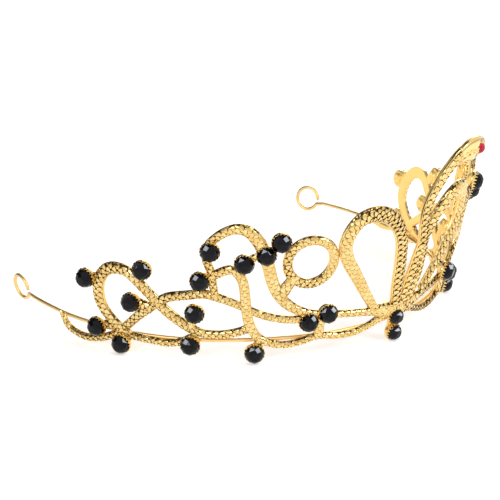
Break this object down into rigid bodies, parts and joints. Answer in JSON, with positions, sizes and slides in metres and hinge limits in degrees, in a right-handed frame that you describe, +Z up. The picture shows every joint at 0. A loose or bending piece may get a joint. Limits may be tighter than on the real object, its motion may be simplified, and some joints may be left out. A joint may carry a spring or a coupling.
{
  "type": "serpent diadem",
  "caption": "Open tiara band of scaled serpent loops set with round black cut stones, a serpent head rising at the front and a support wire ending in eyes.",
  "frame": {"origin": "middle of the head opening, on the surface that the diadem stands on", "axes": "+X to the wearer's left, front of the band towards -Y, +Z up"},
  "size_m": [0.1588, 0.1241, 0.0665],
  "materials": {
    "gold": "polished gold plate",
    "black_stone": "polished",
    "red_stone": "polished"
  },
  "bodies": {
    "root": {"frame": "gold", "end_loop_right": "gold", "end_loop_left": "gold", "stone_right_01": "black_stone", "stone_right_02": "black_stone", "stone_right_03": "black_stone", "stone_right_04": "black_stone", "stone_right_05": "black_stone", "stone_right_06": "black_stone", "stone_right_07": "black_stone", "stone_right_08": "black_stone", "stone_right_09": "black_stone", "stone_right_10": "black_stone", "stone_right_11": "black_stone", "stone_right_12": "black_stone", "stone_right_13": "black_stone", "stone_right_14": "black_stone", "stone_right_15": "black_stone", "stone_left_01": "black_stone", "stone_left_02": "black_stone", "stone_left_03": "black_stone", "stone_left_04": "black_stone", "stone_left_05": "black_stone", "stone_left_06": "black_stone", "stone_left_07": "black_stone", "stone_left_08": "black_stone", "stone_left_09": "black_stone", "stone_left_10": "black_stone", "stone_left_11": "black_stone", "stone_left_12": "black_stone", "stone_left_13": "black_stone", "stone_left_14": "black_stone", "stone_left_15": "black_stone", "stone_centre_1": "black_stone", "stone_centre_2": "black_stone", "eye": "red_stone"}
  },
  "joints": []
}
